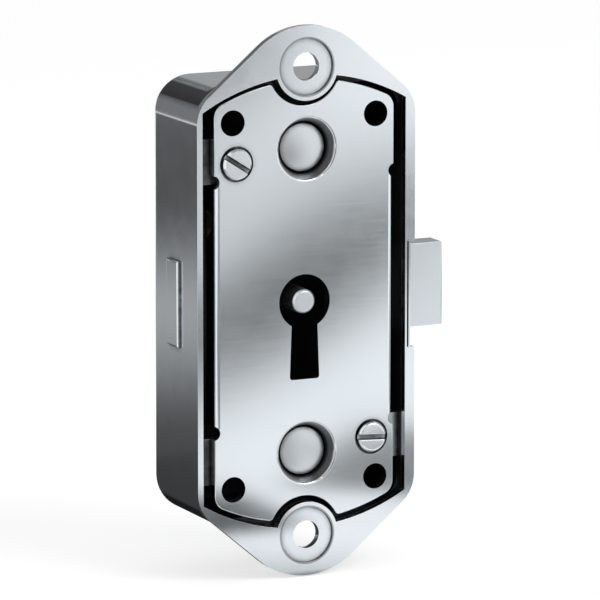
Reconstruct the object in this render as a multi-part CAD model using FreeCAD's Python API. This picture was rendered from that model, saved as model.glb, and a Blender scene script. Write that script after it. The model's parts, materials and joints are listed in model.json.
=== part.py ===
import FreeCAD, Part
import math
import os

# A lever cabinet lock in a pressed steel case, seen from the key side.
# Millimetres: +X towards the thrown bolt, +Y into the case, +Z up. The origin is on the
# key pin's axis, in the front plane of the two mounting ears.
# The bolt is modelled thrown, and the levers are down on its stump.

Vector = FreeCAD.Vector

# Case, drawn from one sheet
case_width = 39.5
case_height = 75.0
case_depth = 19.8
case_sheet = 1.0
case_corner_radius = 6.4
case_back_edge_radius = 2.8
case_inner_edge_radius = 1.6

# Mounting ears at both ends of the case
ear_thickness = 1.4
ear_hole_reach = 2.5
ear_hole_radius = 2.4
ear_recess_radius = 4.85
ear_recess_depth = 0.4
ear_ring_radius = 5.7
ear_nose_reach = 7.0
ear_nose_radius = 13.4

# Mouth of the case, round the cover
mouth_rise = 1.2
mouth_arc_radius = 37.0

# Lip along the bolt side's front edge, left out where the bolt passes. With it the front
# is as wide on the bolt side of the key pin as on the other.
lip_width = 0.8
lip_bolt_gap = 1.95
lip_groove_inset = 0.35
lip_groove_width = 0.3
lip_groove_depth = 0.6

# Bead pressed out of the side opposite the bolt
bead_height = 0.6
bead_edge_radius = 0.35

# Cover plate
cover_setback = 1.0
cover_sheet = 1.8
cover_side_gap = 1.75
cover_end_gap = 0.9
cover_ring_gap = 0.9
cover_corner_radius = 2.5
cover_cusp_radius = 0.7
cover_edge_rounding = 0.15
cover_bend_radius = 1.0
cover_leg_depth = 3.4
notch_inset = 16.2
notch_radius = 1.2
notch_outset = 0.2
bend_end_gap = 0.7
corner_hole_radius = 2.2
corner_hole_side_inset = 3.4
corner_hole_end_inset = 2.56

# Spacer posts, whose domed heads stand in tapered holes drawn into the cover
post_inset = 11.5
post_shift = 0.4
post_hole_rim_radius = 5.3
post_hole_rim_rounding = 0.5
post_hole_radius = 4.25
post_hole_taper = 2.05
post_collar_radius = 5.2
post_collar_depth = 2.4
post_head_radius = 4.1
post_head_sinking = 1.95
post_dome_height = 0.4
post_radius = 3.0
post_tenon_radius = 2.0

# Cover screws, in threaded brackets on the side walls
screw_side_inset = 4.1
screw_notch_gap = 2.95
screw_head_radius = 2.6
screw_head_height = 1.3
screw_head_edge = 0.35
screw_slot_width = 0.9
screw_slot_depth = 0.7
screw_shank_radius = 1.45
screw_length = 6.4
screw_pocket_radius = 3.05
screw_pocket_depth = 0.6
screw_play = 0.2
upper_slot_turn = -33.0
lower_slot_turn = -3.0
bracket_sheet = 1.5
bracket_height = 7.6
bracket_leg_depth = 5.0
bracket_boss_radius = 2.7
bracket_boss_depth = 2.5
thread_radius = 1.5
bracket_offset = 0.4
rest_bracket_height = 8.0
rest_bracket_notch_gap = 5.2
rest_bracket_reach = 4.0

# Key, which is not part of the lock: the spaces that it needs
key_shaft_radius = 4.5
key_bit_thickness = 4.4
key_play = 0.4
keyhole_radius = 4.7
keyhole_top_half_width = 2.25
keyhole_bottom_half_width = 2.75
keyhole_foot_radius = 0.5
key_pin_radius = 2.1
key_pin_chamfer = 0.4
key_pin_tenon_radius = 1.5

# Bolt
bolt_hold = 4.0
bolt_half_height = 7.2
bolt_thickness = 4.3
bolt_flush_gap = 0.2
bolt_edge_rounding = 0.25
bolt_slot_play = 0.15
bolt_end_play = 0.15
head_key_gap = 0.7
tail_sheet = 2.0
tail_left_gap = 1.15
tail_post_gap = 0.8
tail_pivot_gap = 0.8
tail_leg_inset = 1.75
tail_corner_radius = 0.6
talon_bite = 0.6
talon_play = 0.3
rivet_radius = 1.25
rivet_head_radius = 2.1
rivet_head_height = 0.6
rivet_foot_gap = 2.9
rivet_pitch = 6.2

# Stump that the levers hold, and the guide post in the tail's slot
stump_half_width = 0.8
stump_key_gap = 3.7
guide_top_gap = 2.0
guide_radius = 1.3
guide_base_radius = 2.4
guide_tenon_radius = 1.5
guide_slot_play = 0.1
guide_wall = 2.3

# Levers, front to back
lever_sheet = 1.0
washer_thickness = 0.2
stack_play = 0.2
lever_lift_degrees = (9.0, 11.0, 10.0, 8.5)
key_step_drops = (0.5, 1.0, 0.3, 0.8)
lever_wall_gap = 1.15
pivot_key_gap = 1.1
lever_eye_radius = 3.0
pivot_radius = 1.5
pivot_running_play = 0.05
pivot_shoulder_radius = 2.5
pivot_tenon_radius = 1.5
washer_radius = 2.4
lever_room = 3.8
lever_cap = 2.6
lever_tip_reach = 3.4
lever_tip_drop = 0.3
lever_shoulder_reach = 3.5
belly_half_length = 7.2
belly_hollow = 0.8
belly_arc_radius = 32.0
lever_corner_radius = 1.0

# Gate in each lever, which the stump crosses at half throw
gate_bar_half_width = 0.8
gate_play = 0.15
gate_margin = 0.3
pocket_top_play = 0.2
pocket_end_play = 0.3
lower_bar_height = 0.7

# Leaf spring of each lever
spring_thickness = 0.3
spring_width = 0.8
spring_slot_play = 0.05
spring_post_gap = 0.3
spring_foot_reach = 2.7
spring_foot_depth = 2.5
spring_bend_reach = 4.7
spring_bend_rise = 0.7
spring_bend_radius = 1.4
spring_crest_x = -3.4
spring_crest_radius = 6.0
spring_rest_x = 1.0
spring_rest_radius = 2.0
spring_end_x = 3.2
spring_end_drop = 0.35

# Small gap round every tenon riveted in the case
tenon_play = 0.02

# How far a cutting shape runs past the face that it cuts
cut_margin = 1.0

# Places across the case that follow from the sizes above
front_half_width = (case_width + lip_width) / 2
wall_left = -front_half_width
wall_right = front_half_width - lip_width
inner_left = wall_left + case_sheet
inner_right = wall_right - case_sheet
cover_half_width = inner_right - cover_side_gap
corner_hole_x = cover_half_width - corner_hole_side_inset
screw_x = cover_half_width - screw_side_inset
tail_right = inner_right - bolt_end_play
bolt_throw = tail_right - bolt_hold - head_key_gap - key_shaft_radius
bolt_tip = front_half_width - bolt_flush_gap + bolt_throw
head_left = key_shaft_radius + head_key_gap + bolt_throw
tail_left = inner_left + tail_left_gap + bolt_throw
stump_x = bolt_throw / 2
guide_slot_radius = guide_radius + guide_slot_play
guide_x = tail_left + guide_wall + guide_slot_radius
lever_hole_radius = pivot_radius + pivot_running_play
lever_pivot_x = inner_left + lever_wall_gap + lever_eye_radius
lever_shoulder_x = lever_pivot_x + lever_shoulder_reach
lever_tip = stump_x + lever_tip_reach

# Heights that follow, from the case's ends towards the key
half_height = case_height / 2
inner_half_height = half_height - case_sheet
ear_z = half_height + ear_hole_reach
ear_nose_z = ear_z + ear_nose_reach - ear_nose_radius
ear_foot_z = half_height - 2 * case_corner_radius
mouth_centre_z = half_height + mouth_rise - mouth_arc_radius
cover_arc_radius = mouth_arc_radius - cover_end_gap
cover_corner_z = mouth_centre_z + math.sqrt(cover_arc_radius ** 2 - cover_half_width ** 2)
corner_hole_z = cover_corner_z - corner_hole_end_inset
notch_height = half_height - notch_inset
screw_z = notch_height + screw_notch_gap
rest_bracket_z = -(notch_height + rest_bracket_notch_gap)
post_z = half_height - post_inset
tail_top = post_z - post_radius - tail_post_gap
guide_height = tail_top - guide_top_gap
lever_top = post_z - post_radius - lever_room
stump_height = lever_top - lever_cap
key_bit_radius = stump_height - stump_key_gap
key_step_radii = [key_bit_radius - drop for drop in key_step_drops]
lever_tip_bottom = key_bit_radius - lever_tip_drop
lever_pivot_z = key_bit_radius + pivot_key_gap
tail_bottom = key_bit_radius - talon_bite
tail_arm_bottom = lever_pivot_z + pivot_shoulder_radius + tail_pivot_gap
tail_leg_bottom = -(bolt_half_height - tail_leg_inset)
rivet_low_z = tail_leg_bottom + rivet_foot_gap
rivet_heights = (rivet_low_z, rivet_low_z + rivet_pitch)

# Depths that follow, from the key side towards the back
inner_back = case_depth - case_sheet
cover_front = cover_setback
cover_back = cover_front + cover_sheet
lever_count = len(lever_lift_degrees)
lever_pitch = lever_sheet + washer_thickness
stack_front = cover_front + cover_leg_depth + stack_play
stack_back = stack_front + lever_count * lever_pitch
post_head_front = cover_front + post_head_sinking
post_head_back = stack_front - stack_play / 2
tail_front = stack_back + stack_play
tail_back = tail_front + tail_sheet
bolt_front = tail_back - bolt_thickness


def block(low, high):
    """A box between two opposite corners."""
    size = [b - a for a, b in zip(low, high)]
    return Part.makeBox(size[0], size[1], size[2], Vector(*low))


def rod(x, z, radius, front, back):
    """A round bar along Y."""
    return Part.makeCylinder(radius, back - front, Vector(x, front, z), Vector(0, 1, 0))


def cone(x, z, front_radius, back_radius, front, back):
    """A round taper along Y."""
    foot = Vector(x, front, z)
    return Part.makeCone(front_radius, back_radius, back - front, foot, Vector(0, 1, 0))


def rounded_corner(before, corner, after, radius):
    """Start, middle and end of the arc that rounds one corner off."""
    to_before = (before - corner).normalize()
    to_after = (after - corner).normalize()
    half_angle = to_before.getAngle(to_after) / 2
    reach = radius / math.tan(half_angle)
    bisector = (to_before + to_after).normalize()
    middle = corner + bisector * (radius / math.sin(half_angle) - radius)
    return corner + to_before * reach, middle, corner + to_after * reach


def plate(corners, front, back):
    """A flat piece between two depths. Each corner is x, z and its rounding radius."""
    points = [Vector(x, front, z) for x, z, radius in corners]
    stops = []
    for index, (x, z, radius) in enumerate(corners):
        before = points[index - 1]
        after = points[(index + 1) % len(points)]
        if radius > 0:
            stops.append(rounded_corner(before, points[index], after, radius))
        else:
            stops.append((points[index], None, points[index]))
    edges = []
    for index, (start, middle, end) in enumerate(stops):
        if middle is not None:
            edges.append(Part.Arc(start, middle, end).toShape())
        following = stops[(index + 1) % len(stops)][0]
        if (following - end).Length > 1e-6:
            edges.append(Part.LineSegment(end, following).toShape())
    face = Part.Face(Part.Wire(edges))
    return face.extrude(Vector(0, back - front, 0))


def rounded_block(left, right, half_z, radius, front, back):
    """An upright box with rounded side corners."""
    corners = [
        (left, -half_z, radius),
        (right, -half_z, radius),
        (right, half_z, radius),
        (left, half_z, radius),
    ]
    return plate(corners, front, back)


def edges_at_depth(shape, depth):
    """The edges that lie wholly at one depth."""
    found = []
    for edge in shape.Edges:
        box = edge.BoundBox
        if abs(box.YMin - depth) < 1e-4 and abs(box.YMax - depth) < 1e-4:
            found.append(edge)
    return found


def edges_along_y(shape, places):
    """The edges parallel to Y that pass through the given x, z places."""
    found = []
    for edge in shape.Edges:
        box = edge.BoundBox
        if box.YLength < 1e-4 or max(box.XLength, box.ZLength) > 1e-4:
            continue
        if any(abs(box.XMin - x) < 1e-3 and abs(box.ZMin - z) < 1e-3 for x, z in places):
            found.append(edge)
    return found


def edges_round(shape, x, z, depth):
    """The circular edges at one depth that are centred on one place."""
    found = []
    for edge in edges_at_depth(shape, depth):
        middle = edge.BoundBox.Center
        if abs(middle.x - x) < 1e-3 and abs(middle.z - z) < 1e-3:
            found.append(edge)
    return found


def both_ends(shape):
    """The shape with its mirror image at the other end of the case."""
    return shape.fuse(shape.mirror(Vector(0, 0, 0), Vector(0, 0, 1)))


def arc_region(left, right, arc_radius, front, back):
    """The area inside two upright sides and the end arcs about the mouth's centres, made solid."""
    left_z = mouth_centre_z + math.sqrt(arc_radius ** 2 - left ** 2)
    right_z = mouth_centre_z + math.sqrt(arc_radius ** 2 - right ** 2)
    apex_z = mouth_centre_z + arc_radius
    lower_left = Vector(left, front, -left_z)
    lower_right = Vector(right, front, -right_z)
    upper_right = Vector(right, front, right_z)
    upper_left = Vector(left, front, left_z)
    edges = [
        Part.Arc(lower_left, Vector(0, front, -apex_z), lower_right).toShape(),
        Part.LineSegment(lower_right, upper_right).toShape(),
        Part.Arc(upper_right, Vector(0, front, apex_z), upper_left).toShape(),
        Part.LineSegment(upper_left, lower_left).toShape(),
    ]
    return Part.Face(Part.Wire(edges)).extrude(Vector(0, back - front, 0))


# Case


def ear_sheet():
    """One ear. Its sides leave the box's rounded corners and meet the nose round the screw hole."""
    corner_z = half_height - case_corner_radius
    run = front_half_width - case_corner_radius
    rise = ear_nose_z - corner_z
    bulge = math.asin((ear_nose_radius - case_corner_radius) / math.hypot(run, rise))
    slope = math.atan2(rise, run) + bulge
    side_top = corner_z + case_corner_radius * math.tan((math.pi / 2 - slope) / 2)
    apex_z = side_top + front_half_width * math.tan(slope)
    corners = [
        (-front_half_width, ear_foot_z, 0),
        (front_half_width, ear_foot_z, 0),
        (front_half_width, side_top, case_corner_radius),
        (0, apex_z, ear_nose_radius),
        (-front_half_width, side_top, case_corner_radius),
    ]
    return plate(corners, 0, ear_thickness)


def make_case():
    shell = rounded_block(wall_left, wall_right, half_height, case_corner_radius, 0, case_depth)
    shell = shell.makeFillet(case_back_edge_radius, edges_at_depth(shell, case_depth))
    inner_corner_radius = case_corner_radius - case_sheet
    hollow = rounded_block(
        inner_left, inner_right, inner_half_height, inner_corner_radius, ear_thickness, inner_back
    )
    hollow = hollow.makeFillet(case_inner_edge_radius, edges_at_depth(hollow, inner_back))

    # The seat that carries the cover's ends steps back from the ears by the cover's depth
    seat_back = cover_back + case_sheet
    seat = arc_region(wall_left, wall_right, mouth_arc_radius + case_sheet, 0, seat_back)
    box_space = block(
        (-case_width, -cut_margin, -inner_half_height), (case_width, case_depth, inner_half_height)
    )
    seat = seat.cut(box_space)
    mouth = arc_region(inner_left, inner_right, mouth_arc_radius, -cut_margin, cover_back)

    # A round island at ear level stands in each end of the mouth, hollow from behind
    island = rod(0, ear_z, ear_ring_radius, 0, seat_back)
    within_seat = arc_region(wall_left, wall_right, mouth_arc_radius + case_sheet, 0, seat_back)
    island = island.common(within_seat)
    dish_back = ear_recess_depth + ear_thickness
    dish = rod(0, ear_z, ear_ring_radius - ear_recess_depth, 0, dish_back)
    relief = rod(0, ear_z, ear_ring_radius - case_sheet, dish_back, case_depth)
    relief = relief.cut(block((-case_width, 0, 0), (case_width, case_depth, half_height)))
    recess = rod(0, ear_z, ear_recess_radius, -cut_margin, ear_recess_depth)
    hole = rod(0, ear_z, ear_hole_radius, -cut_margin, case_depth)

    case = shell.fuse(both_ends(ear_sheet())).fuse(seat).cut(mouth).cut(hollow)
    case = case.fuse(both_ends(island.fuse(dish)))
    case = case.cut(both_ends(relief)).cut(both_ends(recess))
    hole = hole.cut(block((-case_width, dish_back, 0), (case_width, 2 * case_depth, half_height)))
    case = case.cut(both_ends(hole))

    # Lip along the bolt side, in two lengths, with a fine groove in the wall's edge between them
    lip_start = bolt_half_height + lip_bolt_gap
    lip = block((inner_right, 0, lip_start), (front_half_width, ear_thickness, ear_foot_z))
    groove_left = inner_right + lip_groove_inset
    groove_right = groove_left + lip_groove_width
    groove = block((groove_left, -cut_margin, -lip_start), (groove_right, lip_groove_depth, lip_start))
    case = case.fuse(both_ends(lip)).cut(groove)

    # Slot for the bolt, and the bead of the same size opposite
    slot_half = bolt_half_height + bolt_slot_play
    slot_front = bolt_front - bolt_slot_play
    slot_back = tail_back + bolt_slot_play
    slot_left = inner_right - cut_margin
    case = case.cut(block((slot_left, slot_front, -slot_half), (case_width, slot_back, slot_half)))
    bead_left = wall_left - bead_height
    bead = block((bead_left, slot_front, -slot_half), (wall_left, slot_back, slot_half))
    bead_edges = [edge for edge in bead.Edges if edge.BoundBox.XMax < bead_left + 1e-4]
    case = case.fuse(bead.makeFillet(bead_edge_radius, bead_edges))

    # Holes in the back for the riveted tenons
    for x, z, radius in tenons():
        hole_front = inner_back - cut_margin
        case = case.cut(rod(x, z, radius + tenon_play, hole_front, case_depth + cut_margin))
    return case.removeSplitter()


def tenons():
    """Place and radius of each tenon riveted in the case's back."""
    return [
        (0, 0, key_pin_tenon_radius),
        (post_shift, post_z, post_tenon_radius),
        (post_shift, -post_z, post_tenon_radius),
        (lever_pivot_x, lever_pivot_z, pivot_tenon_radius),
        (guide_x, guide_height, guide_tenon_radius),
    ]


def corner_places():
    sides = (-corner_hole_x, corner_hole_x)
    return [(x, z) for x in sides for z in (-corner_hole_z, corner_hole_z)]


# Cover


def cover_blank():
    """The flat cover, with its end arcs, the cut round each ear and its rounded corners."""
    blank = arc_region(-cover_half_width, cover_half_width, cover_arc_radius, cover_front, cover_back)
    cut_radius = ear_ring_radius + cover_ring_gap
    blank = blank.cut(both_ends(rod(0, ear_z, cut_radius, 0, case_depth)))
    sides = (-cover_half_width, cover_half_width)
    corners = [(x, z) for x in sides for z in (-cover_corner_z, cover_corner_z)]
    blank = blank.makeFillet(cover_corner_radius, edges_along_y(blank, corners))

    # The cusp is where the end arc meets the cut round the ear
    centre_gap = ear_z - mouth_centre_z
    cusp_rise = (cover_arc_radius ** 2 - cut_radius ** 2 + centre_gap ** 2) / (2 * centre_gap)
    cusp_x = math.sqrt(cover_arc_radius ** 2 - cusp_rise ** 2)
    cusp_z = mouth_centre_z + cusp_rise
    cusps = [(x, z) for x in (-cusp_x, cusp_x) for z in (-cusp_z, cusp_z)]
    return blank.makeFillet(cover_cusp_radius, edges_along_y(blank, cusps))


def cover_side(side):
    """One side edge bent into the case, between the notches."""
    end_z = notch_height - bend_end_gap
    centre_x = cover_half_width - cover_bend_radius
    centre_y = cover_front + cover_bend_radius
    foot = Vector(centre_x, centre_y, -end_z)
    corner = Part.makeCylinder(cover_bend_radius, 2 * end_z, foot, Vector(0, 0, 1))
    quarter = block((centre_x, cover_front, -end_z), (cover_half_width, centre_y, end_z))
    leg_back = cover_front + cover_leg_depth
    leg = block((centre_x, centre_y, -end_z), (cover_half_width, leg_back, end_z))
    bend = corner.common(quarter).fuse(leg)
    if side < 0:
        bend = bend.mirror(Vector(0, 0, 0), Vector(1, 0, 0))
    return bend


def keyhole():
    slot_bottom = -(key_bit_radius + key_play)
    slot = plate(
        [
            (-keyhole_top_half_width, 0, 0),
            (-keyhole_bottom_half_width, slot_bottom, keyhole_foot_radius),
            (keyhole_bottom_half_width, slot_bottom, keyhole_foot_radius),
            (keyhole_top_half_width, 0, 0),
        ],
        0,
        case_depth,
    )
    return slot.fuse(rod(0, 0, keyhole_radius, 0, case_depth))


def make_cover():
    cover = cover_blank()
    cover = cover.makeFillet(cover_edge_rounding, edges_at_depth(cover, cover_front))
    bend_x = cover_half_width - cover_bend_radius
    end_z = notch_height - bend_end_gap
    for side in (-1, 1):
        low = min(side * bend_x, side * case_width)
        high = max(side * bend_x, side * case_width)
        cover = cover.cut(block((low, 0, -end_z), (high, case_depth, end_z)))
        cover = cover.fuse(cover_side(side))
        for z in (-notch_height, notch_height):
            notch_x = side * (cover_half_width + notch_outset)
            cover = cover.cut(rod(notch_x, z, notch_radius, 0, case_depth))

    # Each spacer post's head stands in a tapered hole with a rounded rim and a collar behind
    collar_back = cover_front + post_collar_depth
    taper_back = cover_front + post_hole_taper
    x = post_shift
    for z in (-post_z, post_z):
        cover = cover.fuse(rod(x, z, post_collar_radius, cover_back, collar_back))
        cover = cover.cut(cone(x, z, post_hole_rim_radius, post_hole_radius, cover_front, taper_back))
        cover = cover.cut(rod(x, z, post_hole_radius, cover_front, collar_back))
        rim = edges_round(cover, x, z, cover_front)
        cover = cover.makeFillet(post_hole_rim_rounding, rim)

    for x, z in corner_places():
        cover = cover.cut(rod(x, z, corner_hole_radius, 0, case_depth))
    for x, z in screw_places():
        cover = cover.cut(rod(x, z, screw_pocket_radius, 0, cover_front + screw_pocket_depth))
        cover = cover.cut(rod(x, z, screw_shank_radius + screw_play, 0, case_depth))
    return cover.cut(keyhole()).removeSplitter()


# Cover screws and the brackets under the cover


def screw_places():
    return [(-screw_x, screw_z), (screw_x, -screw_z)]


def make_screw(x, z, slot_turn):
    head_back = cover_front + screw_pocket_depth
    head_front = head_back - screw_head_height
    rim_back = head_front + screw_head_edge
    head = rod(x, z, screw_head_radius, rim_back, head_back)
    rim = cone(x, z, screw_head_radius - screw_head_edge, screw_head_radius, head_front, rim_back)
    shank = rod(x, z, screw_shank_radius, head_back, head_back + screw_length)
    reach = screw_head_radius + cut_margin
    slot = block(
        (x - reach, head_front - cut_margin, z - screw_slot_width / 2),
        (x + reach, head_front + screw_slot_depth, z + screw_slot_width / 2),
    )
    slot.rotate(Vector(x, 0, z), Vector(0, -1, 0), slot_turn)
    return head.fuse(rim).fuse(shank).cut(slot).removeSplitter()


def wall_distance(side):
    """How far the case's inner side face lies from the key pin's axis."""
    return inner_right if side > 0 else -inner_left


def make_bracket(side, z, height, reach):
    """A bent strip, welded to one side wall by its leg, that the cover rests on."""
    wall_x = wall_distance(side)
    low_z = z - height / 2
    high_z = z + height / 2
    top_back = cover_back + bracket_sheet
    top = block((wall_x - reach, cover_back, low_z), (wall_x, top_back, high_z))
    leg_x = wall_x - bracket_sheet
    leg = block((leg_x, cover_back, low_z), (wall_x, top_back + bracket_leg_depth, high_z))
    bracket = top.fuse(leg)
    if side < 0:
        bracket = bracket.mirror(Vector(0, 0, 0), Vector(1, 0, 0))
    return bracket.removeSplitter()


def make_screw_bracket(x, z):
    """A bracket with a threaded boss for one cover screw."""
    middle = math.copysign(screw_z + bracket_offset, z)
    side = math.copysign(1, x)
    reach = wall_distance(side) - screw_x + bracket_boss_radius
    bracket = make_bracket(side, middle, bracket_height, reach)
    boss_back = cover_back + bracket_sheet + bracket_boss_depth
    bracket = bracket.fuse(rod(x, z, bracket_boss_radius, cover_back, boss_back))
    return bracket.cut(rod(x, z, thread_radius, 0, case_depth)).removeSplitter()


# Posts and pins riveted in the case's back


def make_key_pin():
    point_back = cover_front + key_pin_chamfer
    point = cone(0, 0, key_pin_radius - key_pin_chamfer, key_pin_radius, cover_front, point_back)
    pin = rod(0, 0, key_pin_radius, point_back, inner_back)
    tenon = rod(0, 0, key_pin_tenon_radius, inner_back, case_depth)
    return point.fuse(pin).fuse(tenon).removeSplitter()


def make_spacer_post(z):
    """A turned post with a flat wide head, whose end face is slightly domed."""
    x = post_shift
    head = rod(x, z, post_head_radius, post_head_front - post_dome_height, post_head_back)
    dome_radius = (post_head_radius ** 2 + post_dome_height ** 2) / (2 * post_dome_height)
    dome_centre = Vector(x, post_head_front - post_dome_height + dome_radius, z)
    head = head.common(Part.makeSphere(dome_radius, dome_centre))
    body = rod(x, z, post_radius, post_head_back, inner_back)
    return head.fuse(body).fuse(rod(x, z, post_tenon_radius, inner_back, case_depth))


def make_pivot_post():
    x, z = lever_pivot_x, lever_pivot_z
    pin = rod(x, z, pivot_radius, stack_front - stack_play / 2, stack_back)
    shoulder = rod(x, z, pivot_shoulder_radius, stack_back, inner_back)
    return pin.fuse(shoulder).fuse(rod(x, z, pivot_tenon_radius, inner_back, case_depth))


def make_guide_post():
    stub = rod(guide_x, guide_height, guide_radius, tail_front - stack_play / 2, tail_back + stack_play)
    base = rod(guide_x, guide_height, guide_base_radius, tail_back + stack_play, inner_back)
    return stub.fuse(base).fuse(rod(guide_x, guide_height, guide_tenon_radius, inner_back, case_depth))


# Bolt


def make_bolt_head():
    head = block((head_left, bolt_front, -bolt_half_height), (bolt_tip, tail_back, bolt_half_height))
    end_edges = [edge for edge in head.Edges if edge.BoundBox.XMin > bolt_tip - 1e-4]
    head = head.makeFillet(bolt_edge_rounding, end_edges)
    rebate = block(
        (head_left - cut_margin, tail_front, -case_height),
        (tail_right, tail_back + cut_margin, case_height),
    )
    head = head.cut(rebate)
    for x, z in rivet_places():
        head = head.cut(rod(x, z, rivet_radius + tenon_play, 0, case_depth))
    return head


def rivet_places():
    return [((head_left + tail_right) / 2, z) for z in rivet_heights]


def make_bolt_rivets():
    rivets = []
    for x, z in rivet_places():
        shank = rod(x, z, rivet_radius, bolt_front, tail_back)
        end_radius = rivet_head_radius - rivet_head_height / 2
        head = cone(x, z, rivet_head_radius, end_radius, tail_back, tail_back + rivet_head_height)
        rivets.append(shank.fuse(head))
    return Part.makeCompound(rivets)


def make_bolt_tail():
    """The flat bolt plate: guide arm, talon notch for the key, and a leg behind the head."""
    step_x = lever_pivot_x + pivot_shoulder_radius + head_key_gap + bolt_throw
    notch_half = (key_bit_thickness + 2 * talon_play) / 2
    notch_top = key_bit_radius + talon_play
    radius = tail_corner_radius
    corners = [
        (tail_left, tail_arm_bottom, radius),
        (step_x, tail_arm_bottom, radius),
        (step_x, tail_bottom, radius),
        (stump_x - notch_half, tail_bottom, 0),
        (stump_x - notch_half, notch_top, 0),
        (stump_x + notch_half, notch_top, 0),
        (stump_x + notch_half, tail_bottom, 0),
        (head_left, tail_bottom, radius),
        (head_left, tail_leg_bottom, 0),
        (tail_right, tail_leg_bottom, 0),
        (tail_right, tail_top, radius),
        (tail_left, tail_top, radius),
    ]
    tail = plate(corners, tail_front, tail_back)
    slot = rod(guide_x, guide_height, guide_slot_radius, 0, case_depth)
    slot = slot.fuse(rod(guide_x + bolt_throw, guide_height, guide_slot_radius, 0, case_depth))
    slot = slot.fuse(
        block(
            (guide_x, 0, guide_height - guide_slot_radius),
            (guide_x + bolt_throw, case_depth, guide_height + guide_slot_radius),
        )
    )
    stump_hole = stump_bar(tenon_play, tail_front - cut_margin, tail_back + cut_margin)
    tail = tail.cut(slot).cut(stump_hole)
    for x, z in rivet_places():
        tail = tail.cut(rod(x, z, rivet_radius + tenon_play, 0, case_depth))
    return tail


def stump_bar(extra, front, back):
    half = stump_half_width + extra
    low = (stump_x - half, front, stump_height - half)
    return block(low, (stump_x + half, back, stump_height + half))


def make_stump():
    return stump_bar(0, stack_front - stack_play, tail_back)


# Levers


def stump_seen_from_lever(share, lift):
    """The stump's centre in a lever's own frame, and its half size there, after a share of the throw."""
    turn = math.radians(lift) * share
    x = stump_x - share * bolt_throw - lever_pivot_x
    z = stump_height - lever_pivot_z
    seen_x = x * math.cos(turn) + z * math.sin(turn)
    seen_z = z * math.cos(turn) - x * math.sin(turn)
    half = stump_half_width * (math.cos(turn) + math.sin(turn))
    return lever_pivot_x + seen_x, lever_pivot_z + seen_z, half


def lever_gate(lift, front, back):
    """Two pockets joined by the gate that the stump crosses at half throw."""
    reach = (gate_bar_half_width + stump_half_width + gate_margin) / bolt_throw
    rest_x, rest_z, rest_half = stump_seen_from_lever(0, lift)
    end_x, end_z, end_half = stump_seen_from_lever(1, lift)
    bar_x = stump_seen_from_lever(0.5, lift)[0]
    enter_x, enter_z, enter_half = stump_seen_from_lever(0.5 - reach, lift)
    leave_x, leave_z, leave_half = stump_seen_from_lever(0.5 + reach, lift)
    gate_top = enter_z + enter_half + gate_play
    gate_bottom = leave_z - leave_half - gate_play
    pocket_top = rest_z + rest_half + pocket_top_play
    pocket_bottom = gate_bottom - lower_bar_height
    left = end_x - end_half - pocket_end_play
    right = rest_x + rest_half + pocket_end_play
    bar_left = bar_x - gate_bar_half_width
    bar_right = bar_x + gate_bar_half_width
    cut_front = front - cut_margin
    cut_back = back + cut_margin
    window = block((left, cut_front, pocket_bottom), (right, cut_back, pocket_top))
    bars = block((bar_left, cut_front, pocket_bottom), (bar_right, cut_back, pocket_top))
    gate = block((bar_left, cut_front, gate_bottom), (bar_right, cut_back, gate_top))
    return window.cut(bars).fuse(gate)


def lever_front(index):
    return stack_front + index * lever_pitch


def make_lever(index):
    front = lever_front(index)
    back = front + lever_sheet
    lift = lever_lift_degrees[index]
    half_lift = math.radians(lift) / 2
    belly_z = key_step_radii[index] + lever_pivot_x * math.sin(half_lift)
    foot_z = belly_z - belly_hollow
    corners = [
        (lever_pivot_x, lever_pivot_z - lever_eye_radius, 0),
        (-belly_half_length, foot_z, lever_corner_radius),
        (belly_half_length, foot_z, lever_corner_radius / 2),
        (lever_tip, lever_tip_bottom, lever_corner_radius),
        (lever_tip, lever_top, lever_corner_radius),
        (lever_shoulder_x, lever_top, lever_corner_radius),
        (lever_pivot_x, lever_pivot_z + lever_eye_radius, 0),
    ]
    body = plate(corners, front, back)
    body = body.cut(rod(0, belly_z - belly_arc_radius, belly_arc_radius, 0, case_depth))
    lever = body.fuse(rod(lever_pivot_x, lever_pivot_z, lever_eye_radius, front, back))
    lever = lever.cut(rod(lever_pivot_x, lever_pivot_z, lever_hole_radius, 0, case_depth))
    lever = lever.cut(lever_gate(lift, front, back)).cut(spring_slot(front, back))
    return lever.removeSplitter()


def spring_foot_and_bend():
    """The leaf spring's end in the lever, and its bend over the lever's top."""
    foot = Vector(lever_pivot_x + spring_foot_reach, 0, lever_top - spring_foot_depth)
    bend = Vector(lever_pivot_x + spring_bend_reach, 0, lever_top + spring_bend_rise)
    return foot, bend


def spring_slot(front, back):
    """The slanting slot that holds the leaf spring's foot."""
    foot, bend = spring_foot_and_bend()
    along = (bend - foot).normalize()
    across = Vector(-along.z, 0, along.x) * (spring_thickness / 2 + spring_slot_play)
    start = foot - along * spring_slot_play
    ring = [start - across, start + across, bend + across, bend - across]
    corners = [(point.x, point.z, 0) for point in ring]
    return plate(corners, front - cut_margin, back + cut_margin)


def leaf(path, thickness, front, back):
    """A thin strip on edge along a path. Each point is x, z and its bend radius."""
    points = [Vector(x, 0, z) for x, z, radius in path]
    sides = {1: [], -1: []}
    for index, (x, z, radius) in enumerate(path):
        before = points[max(index - 1, 0)]
        after = points[min(index + 1, len(points) - 1)]
        arriving = (points[index] - before) if index > 0 else (after - points[index])
        leaving = (after - points[index]) if index < len(points) - 1 else (points[index] - before)
        arriving.normalize()
        leaving.normalize()
        mean = (arriving + leaving).normalize()
        normal = Vector(-mean.z, 0, mean.x)
        stretch = 1 / mean.dot(leaving)
        turn = arriving.x * leaving.z - arriving.z * leaving.x
        for side in (1, -1):
            corner = points[index] + normal * (side * stretch * thickness / 2)
            inward = side * math.copysign(thickness / 2, turn)
            sides[side].append((corner.x, corner.z, radius - inward if radius > 0 else 0))
    return plate(sides[1] + sides[-1][::-1], front, back)


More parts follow.
